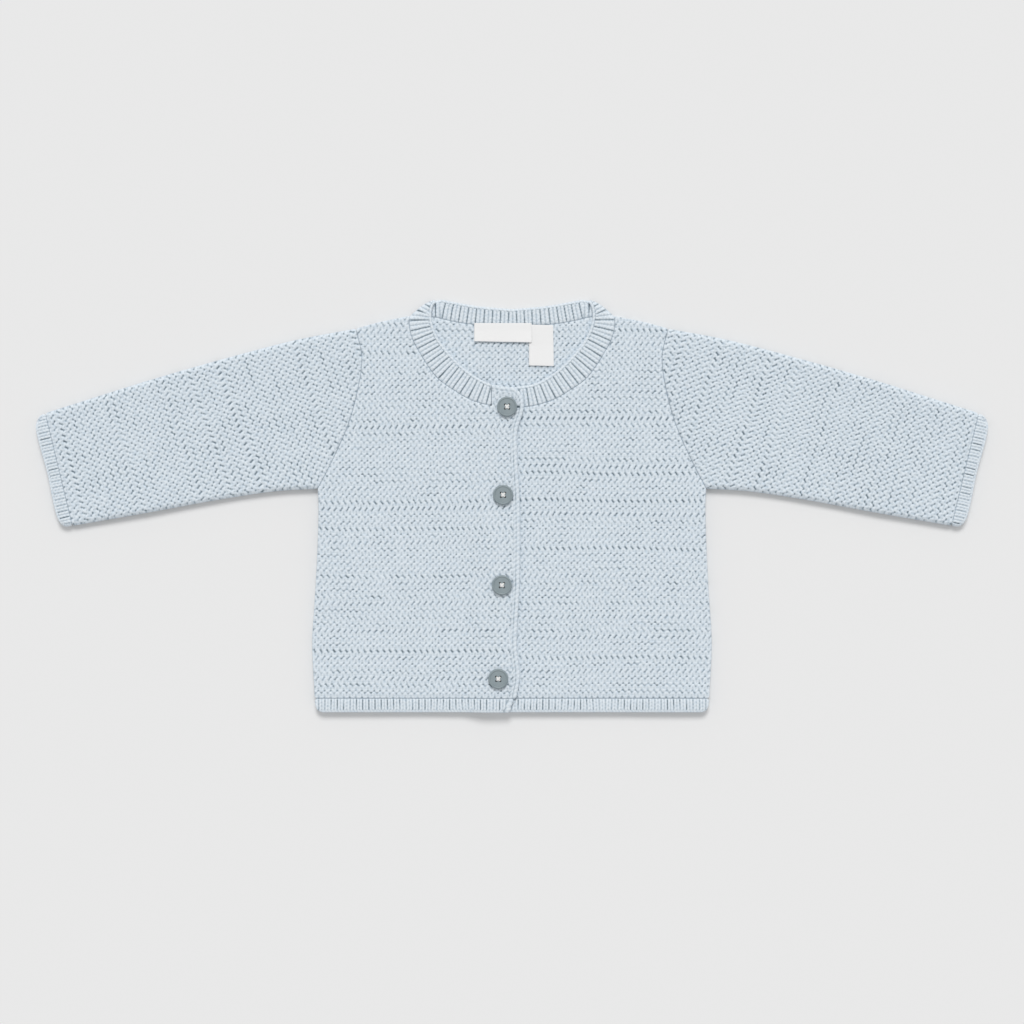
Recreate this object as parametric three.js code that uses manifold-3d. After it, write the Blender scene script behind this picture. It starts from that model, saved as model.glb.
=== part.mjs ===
// A baby's long-sleeved, button-front cardigan in garter stitch, lying flat on its back.
// Millimetres. +X runs towards the wearer's left sleeve, +Y towards the neck and +Z up.
// The origin is under the middle of the garment, on the surface it lies on.
import * as THREE from "three";
import { mergeVertices } from "three/addons/utils/BufferGeometryUtils.js";
import Module from "manifold-3d";

const wasm = await Module();
wasm.setup();

// ---- Driving dimensions ----

const WALL = 2.8; // one layer of knit
const GAP = 0.35; // between pieces
const LAYER = WALL + GAP; // from one layer to the next
const SLEEVE_SLOT = 0.6; // between the two layers of a sleeve
const SLEEVE_HEIGHT = 2 * WALL + SLEEVE_SLOT;
const FOLD_WALL = 3.2; // a sleeve's wall along its two folded edges
const CUT_END_RIM = 0.35; // how little a sleeve's ends round off, next to its folds
const CUFF_RIM = 0.6;
const TURN_RIM = 0.9; // the neckband's turn stays this far inside its upper and lower faces
const CURVE_STEP = 7; // longest straight piece of a curved outline

const HEM_TOP = -125.3; // where garter stitch ends and the hem's rib begins
const RIB_TOP = HEM_TOP - GAP;
const HEM_BOTTOM = -134.4;
const UNDERLAP_EDGE = -16.5; // edge of the wearer's left front, hidden by the right one
const PLACKET_NECK_X = -13.3; // where the neckband ends and the right front runs up to the neck
const LAP_START = -27; // the right front starts to rise over the underlap here
const LAP_END = -18.5; // and lies a layer higher from here on
const LAP_STEPS = 5;
const BAND_UNDER_END = -14.5; // the neckband's lower end, under the right front

const TRIM_GAP = 0.3; // between a label or the thread and what it lies on
const LABEL_WALL = 0.5;
const LABEL_LOW = WALL + TRIM_GAP;

const BUTTON_RADIUS = 6.5;
const BUTTON_HEIGHT = 2.4;
const BUTTON_FACE = 2.0; // height of the flat face inside the rim
const BUTTON_RECESS = 0.6; // hollow under the button, for the thread
const BUTTON_LOW = 2 * LAYER + WALL + GAP;
const HOLE_RADIUS = 0.75;
const HOLE_OFFSET = 1.3; // of each of the four holes from the button's axis, in X and in Y
const THREAD_RADIUS = 0.42;
const SHANK_RADIUS = 0.85;
const THREAD_CROSS_HEIGHT = 0.55;
const THREAD_GATHER_RADIUS = 2.3; // where the strands meet, in the hollow under the button
const BUTTONHOLE_WIDTH = 2.4;

// ---- Outlines: the wearer's left half, mirrored for the right ----

// The side seam, from the hem's rib up to the underarm.
const SIDE = [
  { x: 128.3, y: HEM_TOP },
  { x: 129.9, y: -88 },
  { x: 128.2, y: -60 },
  { x: 126.6, y: -30 },
  { x: 125.8, y: 0 },
  { x: 126.3, y: 11 },
];

// The armhole seam, from the underarm up to the shoulder.
const ARMHOLE = [
  { x: 126.3, y: 11 },
  { x: 116, y: 31 },
  { x: 106.8, y: 52 },
  { x: 100.8, y: 73 },
  { x: 97.6, y: 96 },
  { x: 101.5, y: 115.2 },
];

// The shoulder, from the armhole to the neckband.
const SHOULDER = [
  { x: 101.5, y: 115.2 },
  { x: 88, y: 118.9 },
  { x: 66.3, y: 123.5 },
];

// The neckband's seam on the back, from the shoulder to the middle.
const BACK_NECK = [
  { x: 66.3, y: 123.5 },
  { x: 52.3, y: 123 },
  { x: 37.4, y: 119.8 },
  { x: 24.7, y: 118 },
  { x: 0, y: 117 },
];

// The neckband's seam on the fronts, from the shoulder to the middle.
const FRONT_NECK = [
  { x: 66.3, y: 123.5 },
  { x: 66.9, y: 118.5 },
  { x: 65.4, y: 110.3 },
  { x: 61.5, y: 102 },
  { x: 48.7, y: 83.2 },
  { x: 37.5, y: 75 },
  { x: 27, y: 69 },
  { x: 14, y: 65 },
  { x: 0, y: 63.6 },
];

// The neckband's fold at the shoulder, from its seam to its free edge.
const BAND_FOLD = [
  { x: 66.3, y: 123.5 },
  { x: 62.5, y: 127 },
  { x: 56.5, y: 131.6 },
  { x: 51.5, y: 133.7 },
  { x: 46.8, y: 134.4 },
];

// Where the neckband's front and back stretches are one piece, along the fold.
const BAND_TURN = [
  { x: 65.7, y: 124.1 },
  { x: 62.5, y: 127 },
  { x: 56.5, y: 131.6 },
  { x: 52.2, y: 133.4 },
  { x: 51.8, y: 131.4 },
  { x: 57, y: 128 },
  { x: 61.8, y: 124.6 },
];

// The neckband's free edge at the back, from the fold to the middle.
const BAND_BACK_EDGE = [
  { x: 46.8, y: 134.4 },
  { x: 37.4, y: 132.6 },
  { x: 22.5, y: 130 },
  { x: 0, y: 128 },
];

// The neckband's free edge at the front, from the fold to the middle.
const BAND_FRONT_EDGE = [
  { x: 46.8, y: 134.4 },
  { x: 50.4, y: 131.4 },
  { x: 52, y: 127.5 },
  { x: 52.2, y: 121 },
  { x: 49.5, y: 112 },
  { x: 44, y: 103 },
  { x: 30, y: 88.5 },
  { x: 15, y: 79.5 },
  { x: 0, y: 77 },
];

// The right front's free edge, from the hem's rib up to the neck.
const PLACKET = [
  { x: 2.7, y: HEM_TOP },
  { x: 5.1, y: -111 },
  { x: 3.2, y: -91 },
  { x: 4.9, y: -50 },
  { x: 5.1, y: 0 },
  { x: 3.4, y: 36 },
  { x: 3.6, y: 49 },
  { x: 7.3, y: 61.5 },
  { x: 7.7, y: 67 },
  { x: 6.3, y: 72 },
  { x: 2, y: 76.9 },
];

// The hem's corner at the side, from the bottom edge up to the garter stitch.
const HEM_CORNER = [
  { x: 123.6, y: HEM_BOTTOM },
  { x: 126.6, y: -132.8 },
  { x: 127.9, y: -129.6 },
  { x: 128.3, y: RIB_TOP },
];

// The lower end of the right front's free edge, which turns in towards the side.
const PLACKET_FOOT = [
  { x: -1.8, y: HEM_BOTTOM },
  { x: -0.7, y: -132.6 },
  { x: -0.2, y: -129.6 },
  { x: 2.6, y: RIB_TOP },
];

// The sleeve's upper fold, from the armhole to the cuff.
const SLEEVE_TOP = [
  { x: 101.5, y: 115.2 },
  { x: 137.8, y: 108.4 },
  { x: 169, y: 100.6 },
  { x: 231.4, y: 83 },
  { x: 303.4, y: 60.3 },
];

// The sleeve's lower fold, from the cuff to the underarm.
const SLEEVE_BOTTOM = [
  { x: 285.7, y: -13.1 },
  { x: 231.4, y: -3.6 },
  { x: 192.4, y: 3.6 },
  { x: 153.4, y: 9.4 },
  { x: 126.3, y: 11 },
];

// The cuff's free edge, from the upper fold round to the lower one.
const CUFF_EDGE = [
  { x: 303.4, y: 60.3 },
  { x: 307.4, y: 58 },
  { x: 309.6, y: 52.6 },
  { x: 302.4, y: 22 },
  { x: 294.9, y: -9.4 },
  { x: 291.2, y: -13.4 },
  { x: 285.7, y: -13.1 },
];

const NECK_LABEL = [
  { x: -24.6, y: 106.9 },
  { x: 12.8, y: 106.2 },
  { x: 12.8, y: 118.8 },
  { x: -24.6, y: 118.8 },
];

const SIZE_LABEL = [
  { x: 11, y: 91.2 },
  { x: 27.2, y: 90.8 },
  { x: 26.8, y: 117.5 },
  { x: 13.2, y: 117.8 },
  { x: 13.2, y: 105.8 },
  { x: 11, y: 105.8 },
];

const BUTTONS = [
  { x: -3.2, y: 64.2, slot_left: 2.6, slot_right: 8.2 },
  { x: -5.8, y: 7, slot_left: 3.4, slot_right: 5.6 },
  { x: -6.5, y: -51.5, slot_left: 3.4, slot_right: 5.6 },
  { x: -8.9, y: -112.2, slot_left: 3.4, slot_right: 5.6 },
];

// How a knitted edge rounds off: share of the plate's height, and how far the outline is drawn in.
const SOFT_RIM = [
  { up: 0, inset: 0.9 },
  { up: 0.12, inset: 0.3 },
  { up: 0.36, inset: 0 },
  { up: 0.64, inset: 0 },
  { up: 0.88, inset: 0.3 },
  { up: 1, inset: 0.9 },
];

const FOLDED_RIM = [
  { up: 0, inset: 2.3 },
  { up: 0.07, inset: 1.3 },
  { up: 0.22, inset: 0.4 },
  { up: 0.5, inset: 0 },
  { up: 0.78, inset: 0.4 },
  { up: 0.93, inset: 1.3 },
  { up: 1, inset: 2.3 },
];

const SQUARE_RIM = [
  { up: 0, inset: 0 },
  { up: 1, inset: 0 },
];

// ---- Curves and outlines ----

// A smooth curve through the points, as points about CURVE_STEP apart.
function smooth(points) {
  const curve = new THREE.CatmullRomCurve3(
    points.map((p) => new THREE.Vector3(p.x, p.y, 0)),
    false,
    "centripetal",
  );
  const count = Math.max(2, Math.ceil(curve.getLength() / CURVE_STEP));
  return curve.getSpacedPoints(count).map((p) => ({ x: p.x, y: p.y }));
}

function mirrored(points) {
  return points.map((p) => ({ ...p, x: -p.x })).reverse();
}

function turnedRound(points) {
  return [...points].reverse();
}

// Joins runs of points into one closed outline, leaving out points that repeat.
function joined(...runs) {
  const all = runs.flat();
  return all.filter((p, i) => {
    const before = all[(i + all.length - 1) % all.length];
    return Math.hypot(p.x - before.x, p.y - before.y) > 0.05;
  });
}

// A run that goes on past the middle, its mirror image, as far as the line x = limit.
function acrossTo(run, limit) {
  const whole = [...run, ...mirrored(run).slice(1)];
  const i = whole.findIndex((p) => p.x < limit);
  const share = (limit - whole[i - 1].x) / (whole[i].x - whole[i - 1].x);
  const y = whole[i - 1].y + share * (whole[i].y - whole[i - 1].y);
  return [...whole.slice(0, i), { x: limit, y }];
}

// The open run of points moved sideways, to the left of its direction if distance is positive.
function beside(points, distance) {
  return points.map((p, i) => {
    const a = points[Math.max(i - 1, 0)];
    const b = points[Math.min(i + 1, points.length - 1)];
    const length = Math.hypot(b.x - a.x, b.y - a.y);
    return {
      x: p.x - ((b.y - a.y) / length) * distance,
      y: p.y + ((b.x - a.x) / length) * distance,
    };
  });
}

// The outline with a point added wherever it crosses one of the lines x = cut.
function withCrossings(outline, cuts) {
  const found = [];
  outline.forEach((p, i) => {
    const q = outline[(i + 1) % outline.length];
    found.push(p);
    const between = cuts.filter((cut) => (p.x - cut) * (q.x - cut) < 0);
    between.sort((a, b) => (a - b) * Math.sign(q.x - p.x));
    for (const cut of between) {
      const share = (cut - p.x) / (q.x - p.x);
      found.push({ ...p, x: cut, y: p.y + share * (q.y - p.y) });
    }
  });
  return found;
}

// Which way, and how far, each corner moves when a counter-clockwise outline is drawn in by 1.
function inwards(outline) {
  const count = outline.length;
  return outline.map((p, i) => {
    const before = outline[(i + count - 1) % count];
    const after = outline[(i + 1) % count];
    const a = new THREE.Vector2(before.y - p.y, p.x - before.x).normalize();
    const b = new THREE.Vector2(p.y - after.y, after.x - p.x).normalize();
    const spread = Math.max(1 + a.dot(b), 0.6);
    return a.add(b).divideScalar(spread);
  });
}

// ---- Solids ----

function asGeometry(places) {
  const geometry = new THREE.BufferGeometry();
  geometry.setAttribute("position", new THREE.Float32BufferAttribute(places, 3));
  return geometry;
}

// A closed plate over a counter-clockwise outline, with rounded rims. A corner's own rim value
// scales how far it is drawn in. The lift raises the plate by an amount that depends on x alone,
// and its faces are cut into strips at the lines x = cut.
function plate({ outline, low, high, rim = SOFT_RIM, cuts = [], lift = () => 0 }) {
  const corners = withCrossings(outline, cuts);
  const inward = inwards(corners);
  const rings = rim.map(({ up, inset }) =>
    corners.map((p, i) => {
      const x = p.x + inward[i].x * inset * (p.rim ?? 1);
      const y = p.y + inward[i].y * inset * (p.rim ?? 1);
      return [x, y, low + up * (high - low) + lift(x)];
    }),
  );
  const places = [];
  addWalls(places, rings);
  addFace(places, corners, rings[0], cuts, false);
  addFace(places, corners, rings[rings.length - 1], cuts, true);
  return asGeometry(places);
}

function addWalls(places, rings) {
  for (let level = 0; level < rings.length - 1; level += 1) {
    const count = rings[level].length;
    for (let i = 0; i < count; i += 1) {
      const next = (i + 1) % count;
      const a = rings[level][i];
      const b = rings[level][next];
      const c = rings[level + 1][next];
      const d = rings[level + 1][i];
      places.push(...a, ...b, ...c, ...a, ...c, ...d);
    }
  }
}

function addFace(places, corners, ring, cuts, facesUp) {
  const limits = [-Infinity, ...cuts, Infinity];
  for (let k = 0; k < limits.length - 1; k += 1) {
    const inStrip = (p) => p.x > limits[k] - 1e-6 && p.x < limits[k + 1] + 1e-6;
    const picked = ring.filter((_, i) => inStrip(corners[i]));
    if (picked.length < 3) continue;
    const contour = picked.map((p) => new THREE.Vector2(p[0], p[1]));
    for (const [a, b, c] of THREE.ShapeUtils.triangulateShape(contour, [])) {
      const order = facesUp ? [a, b, c] : [a, c, b];
      order.forEach((i) => places.push(...picked[i]));
    }
  }
}

function toSolid(geometry) {
  const bare = geometry.clone();
  bare.deleteAttribute("normal");
  bare.deleteAttribute("uv");
  const merged = mergeVertices(bare, 1e-4);
  return new wasm.Manifold(
    new wasm.Mesh({
      numProp: 3,
      vertProperties: Float32Array.from(merged.attributes.position.array),
      triVerts: Uint32Array.from(merged.index.array),
    }),
  );
}

function toGeometry(solid) {
  const { vertProperties, triVerts } = solid.getMesh();
  const geometry = new THREE.BufferGeometry();
  geometry.setAttribute("position", new THREE.BufferAttribute(vertProperties, 3));
  geometry.setIndex(new THREE.BufferAttribute(triVerts, 1));
  return geometry;
}

function union(geometries) {
  return toGeometry(geometries.map(toSolid).reduce((all, one) => all.add(one)));
}

function difference(geometry, tools) {
  return toGeometry(tools.map(toSolid).reduce((left, tool) => left.subtract(tool), toSolid(geometry)));
}

// An upright cylinder between two heights.
function post(radius, x, y, low, high, sides = 12) {
  const cylinder = new THREE.CylinderGeometry(radius, radius, high - low, sides);
  return cylinder.rotateX(Math.PI / 2).translate(x, y, (low + high) / 2);
}

// ---- Body ----

const side = smooth(SIDE);
const armhole = smooth(ARMHOLE);
const shoulder = smooth(SHOULDER);
const backNeck = smooth(BACK_NECK);
const frontNeck = smooth(FRONT_NECK);
const bandFold = smooth(BAND_FOLD);
const bandBackEdge = smooth(BAND_BACK_EDGE);
const bandFrontEdge = smooth(BAND_FRONT_EDGE);

// The right front, and what is joined to it, rises over the underlap between these lines.
const LAP_CUTS = Array.from(
  { length: LAP_STEPS + 1 },
  (_, i) => LAP_START + (i * (LAP_END - LAP_START)) / LAP_STEPS,
);
const FRONT_LAYER = { low: LAYER, high: LAYER + WALL };
const LAPPED_LAYER = {
  ...FRONT_LAYER,
  cuts: LAP_CUTS,
  lift: (x) => LAYER * THREE.MathUtils.smoothstep(x, LAP_START, LAP_END),
};

function backPanel() {
  const half = joined(side, armhole, shoulder, backNeck);
  return plate({ outline: joined(half, mirrored(half)), low: 0, high: WALL });
}

// The wearer's left front, with its edge hidden under the right one.
function frontLeft() {
  const corner = [{ x: UNDERLAP_EDGE, y: HEM_TOP }];
  const outline = joined(corner, side, armhole, shoulder, acrossTo(frontNeck, UNDERLAP_EDGE));
  return plate({ outline, ...FRONT_LAYER });
}

// The wearer's right front. Between its free edge and the neckband's end it runs up to the neck.
function frontRight() {
  const bandEnd = -PLACKET_NECK_X;
  const seam = mirrored(acrossTo(frontNeck, bandEnd));
  const neckEdge = mirrored(acrossTo(bandFrontEdge, bandEnd)).slice(0, 1);
  const sides = [shoulder, armhole, side].map(mirrored);
  const outline = joined(smooth(PLACKET), neckEdge, seam, ...sides);
  return difference(plate({ outline, ...LAPPED_LAYER }), BUTTONS.map(buttonhole));
}

// A long hole across the right front, for one button's shank.
function buttonhole({ x, y, slot_left, slot_right }) {
  const radius = BUTTONHOLE_WIDTH / 2;
  const shape = new THREE.Shape();
  shape.absarc(x - slot_left, y, radius, Math.PI / 2, Math.PI * 1.5, false);
  shape.absarc(x + slot_right - radius, y, radius, -Math.PI / 2, Math.PI / 2, false);
  const options = { depth: 2 * LAYER, bevelEnabled: false, curveSegments: 5 };
  return new THREE.ExtrudeGeometry(shape, options).translate(0, 0, LAYER + WALL);
}

// ---- Neckband ----

// Half of the band's front stretch, from the shoulder's fold to the line x = limit.
function bandFrontOutline(limit) {
  const seam = turnedRound(acrossTo(frontNeck, limit));
  const edge = acrossTo(bandFrontEdge, limit);
  return joined(beside(seam, GAP), bandFold.slice(1), edge);
}

function neckband() {
  const halfSeam = turnedRound(joined(backNeck, mirrored(backNeck)));
  const halfTop = joined(bandFold.slice(1), bandBackEdge);
  const backOutline = joined(beside(halfSeam, GAP), halfTop, mirrored(halfTop));
  const bandEnd = -PLACKET_NECK_X + GAP + 0.1;
  const turnHeights = { low: TURN_RIM, high: LAYER + WALL - TURN_RIM, rim: SQUARE_RIM };
  return union([
    plate({ outline: backOutline, low: 0, high: WALL }),
    plate({ outline: bandFrontOutline(BAND_UNDER_END), ...FRONT_LAYER }),
    plate({ outline: mirrored(bandFrontOutline(bandEnd)), ...LAPPED_LAYER }),
    plate({ outline: BAND_TURN, ...turnHeights }),
    plate({ outline: mirrored(BAND_TURN), ...turnHeights }),
  ]);
}

// ---- Hem ----

function hemBack() {
  return plate({ outline: joined(HEM_CORNER, mirrored(HEM_CORNER)), low: 0, high: WALL });
}

function hemFrontLeft() {
  const foot = [{ x: UNDERLAP_EDGE, y: HEM_BOTTOM }];
  const head = [{ x: UNDERLAP_EDGE, y: RIB_TOP }];
  return plate({ outline: joined(foot, HEM_CORNER, head), ...FRONT_LAYER });
}

function hemFrontRight() {
  return plate({ outline: joined(PLACKET_FOOT, mirrored(HEM_CORNER)), ...LAPPED_LAYER });
}

// ---- Sleeves: flattened tubes, open at the armhole and at the cuff ----

const sleeveTop = smooth(SLEEVE_TOP);
const sleeveBottom = smooth(SLEEVE_BOTTOM);
const cuffTop = SLEEVE_TOP[SLEEVE_TOP.length - 1];
const cuffBottom = SLEEVE_BOTTOM[0];

function withRim(points, rim) {
  return points.map((p) => ({ ...p, rim }));
}

// A point beside the cuff's seam: along it from its lower end, and out from it towards the hand.
function offCuffSeam(along, out) {
  const length = Math.hypot(cuffTop.x - cuffBottom.x, cuffTop.y - cuffBottom.y);
  const u = { x: (cuffTop.x - cuffBottom.x) / length, y: (cuffTop.y - cuffBottom.y) / length };
  const start = along < 0 ? cuffTop : cuffBottom;
  return { x: start.x + u.x * along + u.y * out, y: start.y + u.y * along - u.x * out };
}

function sleeveOutline() {
  return joined(
    turnedRound(sleeveBottom.slice(1, -1)),
    withRim([cuffBottom, cuffTop], CUT_END_RIM),
    turnedRound(sleeveTop.slice(1, -1)),
    withRim(turnedRound(beside(armhole, -GAP)), CUT_END_RIM),
  );
}

// The space between a sleeve's two layers, on past both of its ends.
function sleeveSlotOutline() {
  const beyond = 2;
  const top = beside(sleeveTop, -FOLD_WALL).slice(2, -1);
  const bottom = beside(sleeveBottom, -FOLD_WALL).slice(1, -2);
  const mouth = [offCuffSeam(FOLD_WALL, beyond), offCuffSeam(-FOLD_WALL, beyond)];
  const inner = beside(armhole, beyond).slice(1, -1);
  return joined(turnedRound(bottom), mouth, turnedRound(top), turnedRound(inner));
}

function tube(outline, slotOutline, flip) {
  const faced = (points) => (flip ? mirrored(points) : points);
  const low = WALL;
  const high = WALL + SLEEVE_SLOT;
  const outer = plate({ outline: faced(outline), low: 0, high: SLEEVE_HEIGHT, rim: FOLDED_RIM });
  const slot = plate({ outline: faced(slotOutline), low, high, rim: SQUARE_RIM });
  return difference(outer, [slot]);
}

function sleeve(flip) {
  return tube(sleeveOutline(), sleeveSlotOutline(), flip);
}

function cuff(flip) {
  const edge = turnedRound(smooth(CUFF_EDGE).slice(1, -1));
  const seam = [offCuffSeam(-0.2, GAP), offCuffSeam(0.2, GAP)];
  const beyondEdge = 14;
  const narrowed = FOLD_WALL + 1.5;
  const slot = [
    offCuffSeam(FOLD_WALL, -1),
    offCuffSeam(narrowed, beyondEdge),
    offCuffSeam(-narrowed, beyondEdge),
    offCuffSeam(-FOLD_WALL, -1),
  ];
  return tube(withRim(joined(edge, seam), CUFF_RIM), slot, flip);
}

// ---- Labels, buttons and their thread ----

function label(outline) {
  return plate({ outline, low: LABEL_LOW, high: LABEL_LOW + LABEL_WALL, rim: SQUARE_RIM });
}

// A button's four holes, about its axis.
const HOLE_SIDES = [-HOLE_OFFSET, HOLE_OFFSET];
const HOLES = HOLE_SIDES.flatMap((x) => HOLE_SIDES.map((y) => ({ x, y })));

function button() {
  const profile = [
    { r: 0, z: BUTTON_RECESS },
    { r: 2.7, z: BUTTON_RECESS },
    { r: 3.2, z: 0 },
    { r: 5.4, z: 0 },
    { r: 6.2, z: 0.5 },
    { r: BUTTON_RADIUS, z: 1.2 },
    { r: 6.35, z: 1.95 },
    { r: 6.0, z: 2.3 },
    { r: 5.7, z: BUTTON_HEIGHT },
    { r: 5.4, z: 2.3 },
    { r: 5.1, z: BUTTON_FACE },
    { r: 0, z: BUTTON_FACE },
  ];
  const turned = new THREE.LatheGeometry(profile.map((p) => new THREE.Vector2(p.r, p.z)), 40);
  const blank = turned.rotateX(Math.PI / 2);
  const holes = HOLES.map(({ x, y }) => post(HOLE_RADIUS, x, y, -1, BUTTON_HEIGHT + 1));
  return difference(blank, holes);
}

// White thread: a cross over the button's face, a strand down each hole, and the shank through
// the buttonhole to the left front.
function buttonThread() {
  const face = BUTTON_FACE + TRIM_GAP;
  const under = TRIM_GAP - GAP;
  const inFace = face + THREAD_CROSS_HEIGHT / 2;
  const underlapFace = LAYER + WALL + TRIM_GAP - BUTTON_LOW;
  const reach = 2 * Math.SQRT2 * HOLE_OFFSET + 2 * THREAD_RADIUS;
  const arms = [Math.PI / 4, -Math.PI / 4].map((turn) => {
    const arm = new THREE.BoxGeometry(reach, 2 * THREAD_RADIUS, THREAD_CROSS_HEIGHT);
    return arm.rotateZ(turn).translate(0, 0, inFace);
  });
  const strands = HOLES.map(({ x, y }) => post(THREAD_RADIUS, x, y, under, inFace, 8));
  const gathered = post(THREAD_GATHER_RADIUS, 0, 0, under, BUTTON_RECESS - TRIM_GAP);
  const shank = post(SHANK_RADIUS, 0, 0, underlapFace, BUTTON_RECESS - TRIM_GAP);
  return union([...arms, ...strands, gathered, shank]);
}

// ---- The garment ----

const YARN = { color: 0xc3ced6, roughness: 0.95, metalness: 0 };
const RIB_YARN = { color: 0xccd6dd, roughness: 0.95, metalness: 0 };
const RESIN = { color: 0x87959a, roughness: 0.45, metalness: 0 };
const WHITE_THREAD = { color: 0xf2f2f0, roughness: 0.8, metalness: 0 };
const WHITE_TAPE = { color: 0xf4f4f3, roughness: 0.7, metalness: 0 };

const cardigan = new THREE.Group();
cardigan.name = "cardigan";

function addPiece(name, geometry, look, parent = cardigan) {
  const mesh = new THREE.Mesh(geometry, new THREE.MeshStandardMaterial(look));
  mesh.name = name;
  parent.add(mesh);
}

addPiece("back_panel", backPanel(), YARN);
addPiece("front_left", frontLeft(), YARN);
addPiece("front_right", frontRight(), YARN);
addPiece("sleeve_left", sleeve(false), YARN);
addPiece("sleeve_right", sleeve(true), YARN);
addPiece("neckband", neckband(), RIB_YARN);
addPiece("hem_back", hemBack(), RIB_YARN);
addPiece("hem_front_left", hemFrontLeft(), RIB_YARN);
addPiece("hem_front_right", hemFrontRight(), RIB_YARN);
addPiece("cuff_left", cuff(false), RIB_YARN);
addPiece("cuff_right", cuff(true), RIB_YARN);
addPiece("neck_label", label(NECK_LABEL), WHITE_TAPE);
addPiece("size_label", label(SIZE_LABEL), WHITE_TAPE);

BUTTONS.forEach((place, i) => {
  const fastening = new THREE.Group();
  fastening.position.set(place.x, place.y, BUTTON_LOW);
  cardigan.add(fastening);
  addPiece(`button_${i + 1}`, button(), RESIN, fastening);
  addPiece(`button_thread_${i + 1}`, buttonThread(), WHITE_THREAD, fastening);
});

export default cardigan;
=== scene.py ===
# A baby's garter-stitch cardigan lying flat on its back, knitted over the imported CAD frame.
# Lengths are in millimetres until a mesh is made. +X is the wearer's left, +Y the neck, +Z up.
import math

import bpy
import numpy as np
from mathutils.geometry import delaunay_2d_cdt
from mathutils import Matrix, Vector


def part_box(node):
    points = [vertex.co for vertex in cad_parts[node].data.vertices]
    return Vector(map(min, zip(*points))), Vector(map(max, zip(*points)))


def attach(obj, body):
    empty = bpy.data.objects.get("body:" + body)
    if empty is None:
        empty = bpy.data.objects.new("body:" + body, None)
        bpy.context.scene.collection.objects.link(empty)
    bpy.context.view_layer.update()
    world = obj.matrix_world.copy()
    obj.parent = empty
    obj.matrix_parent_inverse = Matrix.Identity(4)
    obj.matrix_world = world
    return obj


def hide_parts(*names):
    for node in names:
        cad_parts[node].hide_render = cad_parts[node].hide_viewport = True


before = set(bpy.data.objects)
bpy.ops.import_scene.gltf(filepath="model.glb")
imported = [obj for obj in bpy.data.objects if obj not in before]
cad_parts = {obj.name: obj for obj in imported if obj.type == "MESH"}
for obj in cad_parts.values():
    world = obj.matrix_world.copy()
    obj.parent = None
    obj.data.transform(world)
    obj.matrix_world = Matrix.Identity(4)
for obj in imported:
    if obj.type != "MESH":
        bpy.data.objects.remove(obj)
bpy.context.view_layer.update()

MM = 0.001

# ---- The build's sizes, close to the CAD's: the size label and the lap's rise differ a little ----

WALL = 2.8
LAYER = 3.15  # from one layer of knit to the next
TUBE_HEIGHT = 6.2  # a flattened sleeve
HEM_TOP = -125.3
HEM_BOTTOM = -134.4
UNDERLAP_EDGE = -16.5
PLACKET_NECK_X = -13.3
BAND_UNDER_END = -14.5

SIDE = [(128.3, HEM_TOP), (129.9, -88), (128.2, -60), (126.6, -30), (125.8, 0), (126.3, 11)]
ARMHOLE = [(126.3, 11), (116, 31), (106.8, 52), (100.8, 73), (97.6, 96), (101.5, 115.2)]
SHOULDER = [(101.5, 115.2), (88, 118.9), (66.3, 123.5)]
BACK_NECK = [(66.3, 123.5), (52.3, 123), (37.4, 119.8), (24.7, 118), (0, 117)]
FRONT_NECK = [
    (66.3, 123.5), (66.9, 118.5), (65.4, 110.3), (61.5, 102), (48.7, 83.2),
    (37.5, 75), (27, 69), (14, 65), (0, 63.6),
]
BAND_FOLD = [(66.3, 123.5), (62.5, 127), (56.5, 131.6), (51.5, 133.7), (46.8, 134.4)]
BAND_BACK_EDGE = [(46.8, 134.4), (37.4, 132.6), (22.5, 130), (0, 128)]
BAND_FRONT_EDGE = [
    (46.8, 134.4), (50.4, 131.4), (52, 127.5), (52.2, 121), (49.5, 112),
    (44, 103), (30, 88.5), (15, 79.5), (0, 77),
]
PLACKET = [
    (2.7, HEM_TOP), (5.1, -111), (3.2, -91), (4.9, -50), (5.1, 0), (3.4, 36),
    (3.6, 49), (7.3, 61.5), (7.7, 67), (6.3, 72), (2, 76.9),
]
HEM_CORNER = [(123.6, HEM_BOTTOM), (126.6, -132.8), (127.9, -129.6), (128.3, HEM_TOP)]
PLACKET_FOOT = [(-1.8, HEM_BOTTOM), (-0.7, -132.6), (-0.2, -129.6), (2.7, HEM_TOP)]
SLEEVE_TOP = [(101.5, 115.2), (137.8, 108.4), (169, 100.6), (231.4, 83), (303.4, 60.3)]
SLEEVE_BOTTOM = [(285.7, -13.1), (231.4, -3.6), (192.4, 3.6), (153.4, 9.4), (126.3, 11)]
CUFF_EDGE = [
    (303.4, 60.3), (307.4, 58), (309.6, 52.6), (302.4, 22), (294.9, -9.4),
    (291.2, -13.4), (285.7, -13.1),
]
NECK_LABEL = [(-24.6, 106.9), (12.8, 106.2), (12.8, 118.8), (-24.6, 118.8)]
SIZE_LABEL = [(11, 91.2), (27.2, 90.8), (26.8, 117.5), (12.2, 117.8), (11, 105.8)]

# ---- The knit ----

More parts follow.
